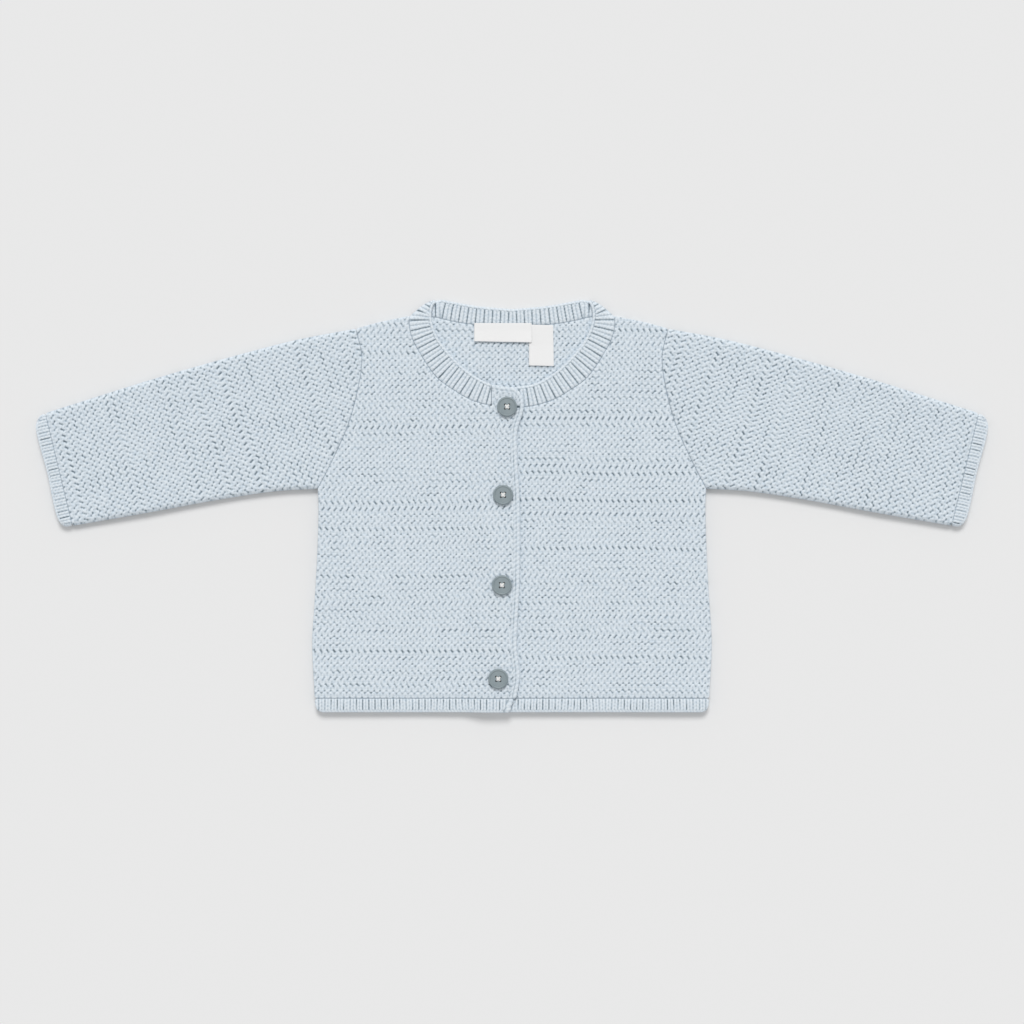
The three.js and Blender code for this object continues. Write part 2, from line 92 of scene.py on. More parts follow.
STITCH = 4.03  # width of one stitch
BODY_RIDGE = 4.43  # from one garter ridge to the next
SLEEVE_RIDGE = 4.75
KNIT_DEPTH = 1.35  # from the top of the yarn to the bottom of the gaps
PROUD = 0.25  # how far the yarn stands above its CAD wall
NECK_RIB = 5.3  # from one rib to the next
HEM_RIB = 4.05
RIB_ROW = 2.3
RIM = 0.8  # width of a layer's rounded edge
FINE = 0.62  # mesh spacing where the knit shows
COARSE = 2.6  # and where it is hidden
LIFT_START = -33  # the right front rises over the underlap, from here
LIFT_END = -17  # to here
RIM_ANGLES = np.radians([55, 25, 0, -30, -60, -90])  # rings round a layer's edge, top to bottom
EDGE_REACH = 2.2  # how far in the upper face begins to slope down to its edge
FOLD_REACH = 3.4  # how far in it begins to round down to a fold
FOLD_RADIUS = 3.41  # just over the reach, so that the fold isn't quite upright
UNDER_STEP = 6.0  # mesh spacing of the plain lower faces


def smooth(points, step=1.5):
    """A centripetal Catmull-Rom curve through the points, as points about a step apart."""
    knots = np.array(points, float)
    ends = np.vstack([2 * knots[0] - knots[1], knots, 2 * knots[-1] - knots[-2]])
    found = []
    for a, b, c, d in zip(ends[:-3], ends[1:-2], ends[2:-1], ends[3:]):
        t1 = np.linalg.norm(b - a) ** 0.5
        t2 = t1 + np.linalg.norm(c - b) ** 0.5
        t3 = t2 + np.linalg.norm(d - c) ** 0.5
        count = max(2, math.ceil(np.linalg.norm(c - b) / step))
        t = np.linspace(t1, t2, count, endpoint=False)[:, None]
        ab = (t1 - t) / t1 * a + t / t1 * b
        bc = (t2 - t) / (t2 - t1) * b + (t - t1) / (t2 - t1) * c
        cd = (t3 - t) / (t3 - t2) * c + (t - t2) / (t3 - t2) * d
        abc = (t2 - t) / t2 * ab + t / t2 * bc
        bcd = (t3 - t) / (t3 - t1) * bc + (t - t1) / (t3 - t1) * cd
        found.append((t2 - t) / (t2 - t1) * abc + (t - t1) / (t2 - t1) * bcd)
    return np.vstack(found + [knots[-1:]])


def mirrored(run):
    return run[::-1] * (-1, 1)


def joined(*runs):
    """Runs of points as one closed outline, without repeats."""
    points = np.vstack(runs)
    apart = np.linalg.norm(points - np.roll(points, 1, axis=0), axis=1)
    return points[apart > 0.02]


def across_to(run, limit):
    """A run carried on past the middle, as its mirror image, up to the line x = limit."""
    whole = np.vstack([run, mirrored(run)[1:]])
    i = int(np.argmax(whole[:, 0] < limit))
    share = (limit - whole[i - 1, 0]) / (whole[i, 0] - whole[i - 1, 0])
    return np.vstack([whole[:i], whole[i - 1] + share * (whole[i] - whole[i - 1])])


def evenly(run, count):
    """The run as count points at equal distances."""
    along = np.r_[0, np.cumsum(np.linalg.norm(np.diff(run, axis=0), axis=1))]
    wanted = np.linspace(0, along[-1], count)
    return np.stack([np.interp(wanted, along, run[:, k]) for k in (0, 1)], 1)


def enclosed_area(outline):
    x, y = outline.T
    return abs(np.dot(x, np.roll(y, -1)) - np.dot(y, np.roll(x, -1))) / 2


def nearest(points, run):
    """Each point's distance to an open run, the nearest place on it, and how far along that is."""
    best = np.full(len(points), 1e9)
    place = np.zeros_like(points)
    along = np.zeros(len(points))
    done = 0.0
    for a, b in zip(run[:-1], run[1:]):
        way = b - a
        length = np.linalg.norm(way)
        share = np.clip((points - a) @ way / max(length**2, 1e-12), 0, 1)
        at = a + share[:, None] * way
        gap = np.hypot(*(points - at).T)
        closer = gap < best
        best[closer] = gap[closer]
        place[closer] = at[closer]
        along[closer] = done + share[closer] * length
        done += length
    return best, place, along


def inside(points, outline):
    """Whether each point lies within the closed outline."""
    x, y = points.T
    odd = np.zeros(len(points), bool)
    for a, b in zip(outline, np.roll(outline, -1, axis=0)):
        crosses = (a[1] > y) != (b[1] > y)
        if abs(b[1] - a[1]) > 1e-12:
            odd ^= crosses & (x < (b[0] - a[0]) * (y - a[1]) / (b[1] - a[1]) + a[0])
    return odd


def ease(x, low, high):
    t = np.clip((x - low) / (high - low), 0, 1)
    return t * t * (3 - 2 * t)


def noise(x, y, scale, seed):
    """Smooth noise from -1 to 1, the same on every run."""
    table = np.random.default_rng(seed).uniform(-1, 1, (64, 64))
    u, v = x / scale + 100.3, y / scale + 100.7
    i, j = np.floor(u).astype(int), np.floor(v).astype(int)
    f, g = ease(u - i, 0, 1), ease(v - j, 0, 1)
    i, j, right, up = i % 64, j % 64, (i + 1) % 64, (j + 1) % 64
    near = table[i, j] * (1 - f) + table[right, j] * f
    far = table[i, up] * (1 - f) + table[right, up] * f
    return near * (1 - g) + far * g


def round_yarn(distance, radius):
    """The height, from 0 to 1, of a round strand at a distance from its middle line."""
    return np.sqrt(np.clip(1 - (distance / radius) ** 2, 0, 1))


# ---- Stitches: heights from 0, in the gaps, to 1, on top of the yarn; the yarn's materials also paint shade from these heights ----


def garter(across, up, ridge, seed):
    """Garter stitch. Each ridge is two strands that wave together and take turns on top."""
    s = across / STITCH + 0.45 * noise(across, up, 45, seed) + 0.10 * noise(across, up, 9, seed + 1)
    r = up / ridge + 0.20 * noise(across, up, 42, seed + 2) + 0.07 * noise(across, up, 11, seed + 3)
    swing = 0.165 * (1 + 0.3 * noise(across, up, 7, seed + 4))
    radius = 1.2 * (1 + 0.06 * noise(across, up, 4, seed + 5))
    shifts = np.random.default_rng(seed + 6).uniform(-0.14, 0.14, 512)
    height = np.zeros_like(s)
    for step in (-1, 0, 1):
        row = np.floor(r) + step
        phase = 2 * np.pi * (s + shifts[row.astype(int) % 512])
        slope = swing * ridge * 2 * np.pi / STITCH * np.sin(phase)
        lean = 1 / np.sqrt(1 + slope**2)
        for side in (1, -1):
            middle = row + 0.5 + side * 0.2 + swing * np.cos(phase)
            strand = round_yarn((r - middle) * ridge * lean, radius)
            turn = 0.66 + 0.34 * (0.5 + 0.5 * side * np.cos(phase))
            height = np.maximum(height, strand * turn)
    return height


def rib(along, across, period, seed):
    """A rib: knit columns of two legs, each a line of slanting stitches, with gaps between."""
    p = along / period + 0.10 * noise(along, across, 14, seed)
    x = (p - np.floor(p) - 0.5) * period
    leg = round_yarn(np.abs(x) - 0.235 * period, 0.245 * period)
    slant = across / RIB_ROW + np.abs(x) / period * 1.6 + 0.1 * noise(along, across, 5, seed + 1)
    stitch = 0.5 + 0.5 * np.cos(2 * np.pi * slant)
    crease = 0.5 * np.exp(-((x / (0.10 * period)) ** 2))
    return np.maximum(leg * (0.76 + 0.24 * stitch), crease)


def chain(along, across, radius, link):
    """A chain of slanting links along an edge."""
    strand = round_yarn(across - radius, radius)
    return strand * (0.84 + 0.16 * np.cos(2 * np.pi * (along / link + across / (3 * radius))))


def puff(x, y):
    """How the cloth swells and dips where it lies loosely."""
    loose = ease(np.abs(x + 6), 22, 50)
    return loose * (0.35 * noise(x, y, 60, 71) + 0.25 * noise(x, y, 27, 72))


def lap_lift(x):
    return LAYER * ease(x, LIFT_START, LIFT_END)


# ---- Making a layer of cloth ----


def without_pinches(kept):
    """Takes away cells until no two of them meet at a corner alone."""
    while True:
        a, b, c, d = kept[:-1, :-1], kept[1:, :-1], kept[:-1, 1:], kept[1:, 1:]
        bad = (a & d & ~b & ~c) | (b & c & ~a & ~d)
        if not bad.any():
            return kept
        kept[:-1, :-1] &= ~bad
        kept[1:, :-1] &= ~bad


def boundary_loop(kept, index):
    """The vertices round the kept cells, counter-clockwise: the longest loop, if there are several."""
    padded = np.pad(kept, 1)
    i, j = np.nonzero(kept)
    after = {}
    for di, dj, start, end in (
        (0, -1, (0, 0), (1, 0)),
        (1, 0, (1, 0), (1, 1)),
        (0, 1, (1, 1), (0, 1)),
        (-1, 0, (0, 1), (0, 0)),
    ):
        free = ~padded[i + 1 + di, j + 1 + dj]
        tails = index[i[free] + start[0], j[free] + start[1]]
        heads = index[i[free] + end[0], j[free] + end[1]]
        after.update(zip(tails.tolist(), heads.tolist()))
    loops = []
    while after:
        first, at = next(iter(after.items()))
        loop = [first]
        del after[first]
        while at != first:
            loop.append(at)
            at = after.pop(at)
        loops.append(loop)
    loops.sort(key=len)
    return np.array(loops[-1])


def layer(outline, us, vs, knit, low, high, fold=None, fold_z=0.0, rim=RIM, lift=None, proud=PROUD,
          edge_drop=0.35, depth=KNIT_DEPTH):
    """One closed layer of cloth over an outline, on a grid of lines us by vs.

    knit(points) gives the stitches' height, which carries the upper face; the lower face is plain.
    Along a fold the layer rounds off to fold_z, where it meets the layer below.
    """
    u, v = np.meshgrid(us, vs, indexing="ij")
    points = np.stack([u.ravel(), v.ravel()], 1)
    ring = np.vstack([outline, outline[:1]])
    gap, place, _ = nearest(points, ring)
    within = inside(points, outline)
    signed = np.where(within, gap, -gap)
    grid = signed.reshape(u.shape)
    middle = (grid[:-1, :-1] + grid[1:, :-1] + grid[:-1, 1:] + grid[1:, 1:]) / 4
    kept = without_pinches(middle > rim)
    used = np.zeros(u.shape, bool)
    for di in (0, 1):
        for dj in (0, 1):
            used[di : used.shape[0] - 1 + di, dj : used.shape[1] - 1 + dj] |= kept
    index = np.full(u.shape, -1)
    index[used] = np.arange(used.sum())
    i, j = np.nonzero(kept)
    quads = np.stack([index[i, j], index[i + 1, j], index[i + 1, j + 1], index[i, j + 1]], 1)
    loop = boundary_loop(kept, index)
    flat = used.ravel()
    at, signed, place = points[flat], signed[flat], place[flat]
    inward = (at - place) * np.sign(signed)[:, None]
    length = np.maximum(np.linalg.norm(inward, axis=1), 1e-9)[:, None]
    inward = inward / length
    at[loop] = place[loop] + inward[loop] * rim

    height = knit(at)
    raise_by = lift(at) if lift else np.zeros(len(at))
    edge = np.clip(1 - (signed - rim) / EDGE_REACH, 0, 1) ** 2
    top = high + proud - depth * (1 - height) * (1 - 0.45 * edge) - edge_drop * edge
    to_fold = nearest(at, fold)[0] if fold is not None else np.full(len(at), 99.0)
    if fold is not None:
        rounding = round_yarn(np.clip(FOLD_REACH - to_fold, 0, FOLD_REACH), FOLD_RADIUS)
        top = fold_z + (top - fold_z) * rounding
    folded = to_fold[loop] < rim * 1.25
    base = np.where(folded, fold_z, low)
    mid = np.where(folded, fold_z, (top[loop] + low) / 2)

    vertices = [np.column_stack([at, top + raise_by])]
    heights = [height]
    rings = [loop]
    outward = -inward[loop]
    count = len(at)
    for angle in RIM_ANGLES:
        out = outward * rim * np.cos(angle)
        reach = np.where(angle > 0, top[loop] - mid, mid - base)
        z = mid + reach * np.sin(angle) + raise_by[loop]
        vertices.append(np.column_stack([at[loop] + out, z]))
        # The rounded edge is coloured from the same painted-shade ramp, at the knit's height but never
        # darker than 0.55 on it.
        heights.append(np.maximum(height[loop], 0.55))
        rings.append(np.arange(count, count + len(loop)))
        count += len(loop)
    walls = [
        np.stack([a, b, np.roll(b, -1), np.roll(a, -1)], 1) for a, b in zip(rings[:-1], rings[1:])
    ]
    # The lower face, from the last ring and a few points inside it.
    grid_u, grid_v = np.meshgrid(
        np.arange(us[0], us[-1], UNDER_STEP), np.arange(vs[0], vs[-1], UNDER_STEP)
    )
    spots = np.stack([grid_u.ravel(), grid_v.ravel()], 1)
    spots = spots[inside(spots, outline)]
    spots = spots[nearest(spots, ring)[0] > rim + 2]
    edge_points = at[loop]
    pool = np.vstack([edge_points, spots])
    n = len(loop)
    found, _, faces, origins, _, _ = delaunay_2d_cdt(
        [tuple(p) for p in pool], [], [list(range(n))], 1, 1e-7
    )
    place_of = {}
    extra = []
    for k, (p, origin) in enumerate(zip(found, origins)):
        if origin and origin[0] < n:
            place_of[k] = int(rings[-1][origin[0]])
        else:
            place_of[k] = count + len(extra)
            extra.append((p[0], p[1]))
    tris = np.array([[place_of[k] for k in reversed(f)] for f in faces])
    if extra:
        extra = np.array(extra)
        z = np.full(len(extra), low)
        if fold is not None:
            z = fold_z + (low - fold_z) * ease(nearest(extra, fold)[0], 2.4, 5)
        if lift:
            z = z + lift(extra)
        vertices.append(np.column_stack([extra, z]))
        # Painted shade: the plain lower face sits at 0.7 on the yarn's ramp, a little darker than the
        # tops of the yarn.
        heights.append(np.full(len(extra), 0.7))
    return np.vstack(vertices), np.concatenate(heights), np.vstack([quads, *walls]), tris


def moved(part, place):
    """The layer with its points passed through place."""
    vertices, heights, quads, tris = part
    return place(vertices), heights, quads, tris


def turned_over(part, flip):
    """The layer mirrored by flip, a sign for each axis, with its faces still pointing out."""
    vertices, heights, quads, tris = part
    return vertices * flip, heights, quads[:, ::-1], tris[:, ::-1]


def piece(name, material, slot, node, *parts):
    """One mesh object from closed layers, standing for a CAD node."""
    vertices, heights, faces = [], [], []
    count = 0
    for v, h, quads, tris in parts:
        vertices.append(v)
        heights.append(h)
        faces += (quads + count).tolist() + (tris + count).tolist()
        count += len(v)
    mesh = bpy.data.meshes.new(name)
    mesh.from_pydata((np.vstack(vertices) * MM).tolist(), [], faces)
    mesh.polygons.foreach_set("use_smooth", np.ones(len(mesh.polygons), bool))
    # The knit's height is kept on the mesh; it also drives the painted shade in the yarn's materials.
    stored = mesh.attributes.new("height", "FLOAT", "POINT")
    stored.data.foreach_set("value", np.concatenate(heights))
    mesh.materials.append(material)
    mesh.update()
    made = bpy.data.objects.new(name, mesh)
    bpy.context.scene.collection.objects.link(made)
    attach(made, "root")
    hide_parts(node)
    return made


def lines(low, high, step):
    return np.arange(low - step, high + 1.5 * step, step)


def mixed_lines(low, first, last, high, fine, coarse):
    """Lines that are close together between first and last, and further apart outside."""
    before = np.arange(first - coarse, low - coarse, -coarse)[::-1]
    after = np.arange(last + coarse, high + coarse, coarse)
    return np.concatenate([before, np.arange(first, last, fine), after])


# ---- Materials ----


def new_material(name):
    material = bpy.data.materials.new(name)
    material.use_nodes = True
    tree = material.node_tree
    return material, tree, tree.nodes["Principled BSDF"]


def node(tree, kind, **settings):
    made = tree.nodes.new(kind)
    for key, value in settings.items():
        if key in made.inputs:
            made.inputs[key].default_value = value
        else:
            setattr(made, key, value)
    return made


def ramp(tree, source, stops):
    """A colour ramp over a value, with (position, colour) stops."""
    made = tree.nodes.new("ShaderNodeValToRGB")
    elements = made.color_ramp.elements
    while len(elements) < len(stops):
        elements.new(0.5)
    for element, (position, colour) in zip(elements, stops):
        element.position = position
        element.color = (*colour, 1)
    tree.links.new(source, made.inputs["Fac"])
    return made.outputs["Color"]


def blended(tree, kind, share, first, second):
    """Two colours blended, by the given share."""
    made = tree.nodes.new("ShaderNodeMix")
    made.data_type = "RGBA"
    made.blend_type = kind
    made.inputs["Factor"].default_value = share
    tree.links.new(first, made.inputs[6])
    tree.links.new(second, made.inputs[7])
    return made.outputs[2]


def knit_material(name, gap, shade, light):
    """Melange yarn with painted shade: a ramp over the knit's height darkens the gaps and the strands'
    flanks; pale and bluish fibres, a fuzz and a soft sheen.
    """
    material, tree, shader = new_material(name)
    height = node(tree, "ShaderNodeAttribute", attribute_name="height")
    place = node(tree, "ShaderNodeTexCoord").outputs["Object"]
    # Painted shade: gap is the shade painted deep in the gaps, shade a painted half shade on the strands'
    # flanks, and light the yarn's own colour on top. body holds the yarn's colour with this painted
    # shade.
    body = ramp(tree, height.outputs["Fac"], [(0.02, gap), (0.42, shade), (0.80, light)])
    melange = node(tree, "ShaderNodeTexNoise", Scale=520.0, Detail=3.0, Roughness=0.6)
    fibres = node(tree, "ShaderNodeTexNoise", Scale=1500.0, Detail=2.0, Roughness=0.7)
    tree.links.new(place, melange.inputs["Vector"])
    tree.links.new(place, fibres.inputs["Vector"])
    cast = ramp(
        tree, melange.outputs["Fac"],
        [(0.30, (0.80, 0.86, 0.92)), (0.50, (0.97, 0.98, 1.0)), (0.68, (1.0, 1.0, 1.0))],
    )
    speckle = ramp(
        tree, fibres.outputs["Fac"], [(0.32, (0.84, 0.85, 0.87)), (0.62, (1.0, 1.0, 1.0))]
    )
    colour = blended(tree, "MULTIPLY", 0.75, body, cast)
    colour = blended(tree, "MULTIPLY", 0.8, colour, speckle)
    tree.links.new(colour, shader.inputs["Base Color"])
    bump = node(tree, "ShaderNodeBump", Strength=0.45, Distance=0.0005)
    tree.links.new(fibres.outputs["Fac"], bump.inputs["Height"])
    tree.links.new(bump.outputs["Normal"], shader.inputs["Normal"])
    shader.inputs["Roughness"].default_value = 0.95
    shader.inputs["Specular IOR Level"].default_value = 0.15
    shader.inputs["Sheen Weight"].default_value = 0.12
    shader.inputs["Sheen Roughness"].default_value = 0.5
    return material


def woven_material(name, colour, line):
    """White tape or thread, with the fine lines of its weave."""
    material, tree, shader = new_material(name)
    place = node(tree, "ShaderNodeTexCoord").outputs["Object"]
    weave = node(tree, "ShaderNodeTexWave", Scale=line, Distortion=0.6, Detail=1.0)
    weave.bands_direction = "Y"
    tree.links.new(place, weave.inputs["Vector"])
    low = tuple(0.90 * c for c in colour)
    lines_seen = ramp(tree, weave.outputs["Fac"], [(0.0, low), (1.0, colour)])
    tree.links.new(lines_seen, shader.inputs["Base Color"])
    bump = node(tree, "ShaderNodeBump", Strength=0.35, Distance=0.0002)
    tree.links.new(weave.outputs["Fac"], bump.inputs["Height"])
    tree.links.new(bump.outputs["Normal"], shader.inputs["Normal"])
    shader.inputs["Roughness"].default_value = 0.75
    return material


def resin_material():
    """Slate grey buttons with faint turned rings and a soft gloss."""
    material, tree, shader = new_material("button_resin")
    place = node(tree, "ShaderNodeTexCoord").outputs["Generated"]
    centred = node(tree, "ShaderNodeMapping", Location=(-0.5, -0.5, 0.0))
    tree.links.new(place, centred.inputs["Vector"])
    rings = node(tree, "ShaderNodeTexWave", Scale=9.0, Distortion=0.8, Detail=2.0)
    rings.wave_type = "RINGS"
    rings.rings_direction = "Z"
    cloud = node(tree, "ShaderNodeTexNoise", Scale=4.0, Detail=3.0)
    for texture in (rings, cloud):
        tree.links.new(centred.outputs["Vector"], texture.inputs["Vector"])
    turned = ramp(
        tree, rings.outputs["Fac"], [(0.0, (0.235, 0.285, 0.305)), (1.0, (0.285, 0.34, 0.36))]
    )
    marbled = ramp(tree, cloud.outputs["Fac"], [(0.3, (0.88, 0.9, 0.92)), (0.7, (1.0, 1.0, 1.0))])
    tree.links.new(blended(tree, "MULTIPLY", 1.0, turned, marbled), shader.inputs["Base Color"])
    bump = node(tree, "ShaderNodeBump", Strength=0.15, Distance=0.0002)
    tree.links.new(rings.outputs["Fac"], bump.inputs["Height"])
    tree.links.new(bump.outputs["Normal"], shader.inputs["Normal"])
    shader.inputs["Roughness"].default_value = 0.42
    return material


# For each yarn, the first colour is the painted shade in the gaps, the second a painted half shade, and
# the third the yarn's own colour.
YARN = knit_material("garter_yarn", (0.085, 0.12, 0.14), (0.40, 0.47, 0.52), (0.78, 0.845, 0.89))
RIB_YARN = knit_material("rib_yarn", (0.10, 0.14, 0.16), (0.45, 0.52, 0.57), (0.80, 0.86, 0.90))
TAPE = woven_material("label_tape", (0.92, 0.92, 0.92), 900.0)
THREAD = woven_material("button_thread", (0.93, 0.93, 0.92), 1400.0)
RESIN = resin_material()

# ---- Body ----

side = smooth(SIDE)
armhole = smooth(ARMHOLE)
shoulder = smooth(SHOULDER)
back_neck = smooth(BACK_NECK)
front_neck = smooth(FRONT_NECK)
band_fold = smooth(BAND_FOLD)
band_back_edge = smooth(BAND_BACK_EDGE)
band_front_edge = smooth(BAND_FRONT_EDGE)
placket = smooth(PLACKET)
buttons = [np.array(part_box(f"button_{k}")).mean(0)[:2] / MM for k in (1, 2, 3, 4)]


def global_puff(at):
    return puff(at[:, 0], at[:, 1])


def right_lift(at):
    return lap_lift(at[:, 0]) + global_puff(at)


def back_knit(at):
    return garter(at[:, 0], at[:, 1] + 1.3, BODY_RIDGE, 11)


def front_left_knit(at):
    return garter(at[:, 0], at[:, 1] - HEM_TOP, BODY_RIDGE, 21)


def front_right_knit(at):
    """Garter stitch up to a smooth chained edge, with a slit for each button."""
    height = garter(at[:, 0], at[:, 1] - HEM_TOP + 0.4, BODY_RIDGE, 31)
    across, _, along = nearest(at, placket_edge)
    outer = chain(along, across, 1.35, 3.1)
    inner = 0.93 * chain(along + 1.5, across - 2.5, 1.05, 3.1)
    height = np.where(across < 4.5, np.maximum(outer, inner) * 0.92 + 0.08, height)
    for x, y in buttons:
        far = 8.2 if y > 50 else 5.8
        slit = (np.abs(at[:, 1] - y + 0.1) < 0.45) & (at[:, 0] > x - 4) & (at[:, 0] < x + far)
        # A height of 0 sinks the slit and, through the yarn's ramp, paints it with the dark gap shade.
        height[slit] = 0
    return height


# The back shows only within the neck, so only there is its mesh fine.
half_back = joined(side, armhole, shoulder, back_neck)
back_outline = joined(half_back, mirrored(half_back))
back = layer(
    back_outline,
    mixed_lines(-131, -56, 56, 131, FINE, COARSE),
    mixed_lines(HEM_TOP, 74, 125, 125, FINE, COARSE),
    back_knit, 0, WALL, proud=0.15,
)
knit_back = piece("knit_back", YARN, "yarn", "back_panel", back)

left_neck = across_to(front_neck, UNDERLAP_EDGE)
left_outline = joined([(UNDERLAP_EDGE, HEM_TOP)], side, armhole, shoulder, left_neck)
left = layer(
    left_outline,
    mixed_lines(UNDERLAP_EDGE - 1, 1.5, 131, 131, FINE, COARSE),
    lines(HEM_TOP, 124, FINE),
    front_left_knit, LAYER, LAYER + WALL, lift=global_puff,
)
knit_left = piece("knit_front_left", YARN, "yarn", "front_left", left)

band_end = -PLACKET_NECK_X
right_seam = mirrored(across_to(front_neck, band_end))
neck_corner = mirrored(across_to(band_front_edge, band_end))[:1]
neck_top = np.array([(-6, 77.5)])
placket_edge = np.vstack([placket, neck_top, neck_corner])
right_outline = joined(placket_edge, right_seam, mirrored(shoulder), mirrored(armhole), mirrored(side))
right = layer(
    right_outline,
    lines(-131, 8.5, FINE),
    lines(HEM_TOP, 124, FINE),
    front_right_knit, LAYER, LAYER + WALL,
    lift=right_lift,
)
knit_right = piece("knit_front_right", YARN, "yarn", "front_right", right)

# ---- Neckband ----


def centre_of(first, second):
    """The line half-way between two runs, carried on a little at its start."""
    middle = (evenly(first, 60) + evenly(second, 60)) / 2
    return np.vstack([middle[0] + 4 * (middle[0] - middle[1]), middle])


def band_knit(run, seed, edge_run):
    """Ribs across the band, with a chain along its free edge."""

    def knit(at):
        across, _, along = nearest(at, run)
        height = rib(along, across, NECK_RIB, seed)
        to_edge, _, edge_along = nearest(at, edge_run)
        rim_chain = chain(edge_along, to_edge, 0.95, 2.65)
        return np.where(to_edge < 1.9, np.maximum(rim_chain, 0.25), height)

    return knit


def band_front(limit, seed):
    seam = across_to(front_neck, limit)[::-1]
    edge = across_to(band_front_edge, limit)
    outline = joined(seam, band_fold, edge)
    whole_centre = centre_of(across_to(front_neck, -20), across_to(band_front_edge, -20))
    return outline, band_knit(whole_centre, seed, edge)


def mirrored_lift(at):
    """The lap's lift, for a stretch that is made on the left and then mirrored."""
    return lap_lift(-at[:, 0])


BAND_FINE = 0.4  # mesh spacing
FOLD_Z = 1.5  # height at which the band turns over
band_parts = []
outline, knit = band_front(BAND_UNDER_END, 41)
band_parts.append(layer(
    outline, lines(BAND_UNDER_END - 1, 68, BAND_FINE), lines(63, 135.5, BAND_FINE), knit,
    LAYER, LAYER + WALL, fold=band_fold, fold_z=FOLD_Z, depth=1.2,
))
right_band_outline, knit = band_front(band_end + 0.1, 47)
band_right = layer(
    right_band_outline, lines(band_end - 1, 68, BAND_FINE), lines(63, 135.5, BAND_FINE), knit,
    LAYER, LAYER + WALL, fold=band_fold, fold_z=FOLD_Z, lift=mirrored_lift, depth=1.2,
)
band_parts.append(turned_over(band_right, (-1, 1, 1)))
lower = np.vstack([back_neck, mirrored(back_neck)[1:]])[::-1]
fold_inside = band_fold[1:-1] - (0.9, 0.5)
upper = np.vstack([fold_inside, band_back_edge, mirrored(band_back_edge)[1:], mirrored(fold_inside)])
back_band_outline = joined(lower[2:-2], upper)
back_centre = (evenly(lower[::-1], 90) + evenly(upper, 90)) / 2
band_parts.append(layer(
    back_band_outline, lines(-67, 67, BAND_FINE), lines(116, 135.5, BAND_FINE),
    band_knit(back_centre, 53, upper), 0, WALL, depth=1.1, proud=0.1,
))
band = piece("knit_neckband", RIB_YARN, "rib_yarn", "neckband", *band_parts)

# ---- Hem ----

HEM_FINE = 0.5


def hem_knit(seed, foot=None):
    """Ribs down the hem, with a cast-on edge along the bottom."""

    def knit(at):
        height = rib(at[:, 0], at[:, 1], HEM_RIB, seed)
        to_edge = at[:, 1] - HEM_BOTTOM
        edge_chain = chain(at[:, 0], to_edge, 0.9, 2.1)
        height = np.where(to_edge < 1.6, np.maximum(edge_chain, 0.3), height)
        if foot is not None:
            across, _, along = nearest(at, foot)
            height = np.where(across < 4, np.maximum(chain(along, across, 1.9, 3.1), 0.35), height)
        return height

    return knit


hem_corner = smooth(HEM_CORNER)
foot_run = smooth(PLACKET_FOOT)
hem_outline = joined(hem_corner, mirrored(hem_corner))
hem_back = piece("knit_hem_back", RIB_YARN, "rib_yarn", "hem_back", layer(
    hem_outline, lines(-129, 129, 0.8), lines(HEM_BOTTOM, HEM_TOP, 0.7), hem_knit(61), 0, WALL,
    depth=1.0, proud=0.1,
))
hem_left_outline = joined(
    [(UNDERLAP_EDGE, HEM_BOTTOM)], hem_corner, [(UNDERLAP_EDGE, HEM_TOP)],
)
hem_left = piece("knit_hem_front_left", RIB_YARN, "rib_yarn", "hem_front_left", layer(
    hem_left_outline, lines(UNDERLAP_EDGE - 1, 129, HEM_FINE), lines(HEM_BOTTOM, HEM_TOP, HEM_FINE),
    hem_knit(62), LAYER, LAYER + WALL, depth=1.1, lift=global_puff,
))
hem_right_outline = joined(foot_run, mirrored(hem_corner))
hem_right = piece("knit_hem_front_right", RIB_YARN, "rib_yarn", "hem_front_right", layer(
    hem_right_outline, lines(-129, 3, HEM_FINE), lines(HEM_BOTTOM, HEM_TOP, HEM_FINE),
    hem_knit(63, foot_run), LAYER, LAYER + WALL, depth=1.1,
    lift=right_lift,
))

# ---- Sleeves and cuffs, in their own axes: along the sleeve and across it ----

cuff_top, cuff_bottom = np.array(SLEEVE_TOP[-1]), np.array(SLEEVE_BOTTOM[0])
ACROSS = (cuff_top - cuff_bottom) / np.linalg.norm(cuff_top - cuff_bottom)
ALONG = np.array([ACROSS[1], -ACROSS[0]])


def to_sleeve(points):
    return np.stack([points @ ALONG, points @ ACROSS], 1)


def from_sleeve(vertices):
    flat = vertices[:, :1] * ALONG + vertices[:, 1:2] * ACROSS
    return np.column_stack([flat, vertices[:, 2]])


sleeve_top = to_sleeve(smooth(SLEEVE_TOP))
sleeve_bottom = to_sleeve(smooth(SLEEVE_BOTTOM))
sleeve_seam = to_sleeve(armhole)[::-1]
cuff_edge = to_sleeve(smooth(CUFF_EDGE))
sleeve_outline = joined(sleeve_bottom[::-1], sleeve_top[::-1], sleeve_seam)
cuff_line = sleeve_top[-1, 0]
FAN = 0.1  # how much the ridges lean from square to the cuff, further up the sleeve
MID_Z = TUBE_HEIGHT / 2


def fold_distance_run(bottom, top):
    """The two folded edges as one run, joined far outside the sleeve."""
    far = 300.0
    return np.vstack([bottom, bottom[-1] + (-far, -far), (bottom[0, 0] + 2 * far, -far), top])


def sleeve_knit(seed):
    def knit(at):
        along, across = at.T
        lean = FAN * np.clip((cuff_line - along) / 90, 0, 1)
        up = cuff_line - along + lean * (across - 60)
        return garter(across, up, SLEEVE_RIDGE, seed)

    return knit


def sleeve_puff(at):
    along, across = at.T
    swell = ease(cuff_line - along, 5, 60) * ease(along, 100, 150)
    return swell * (0.5 * noise(along, across, 50, 81) + 0.25 * noise(along, across, 22, 82))


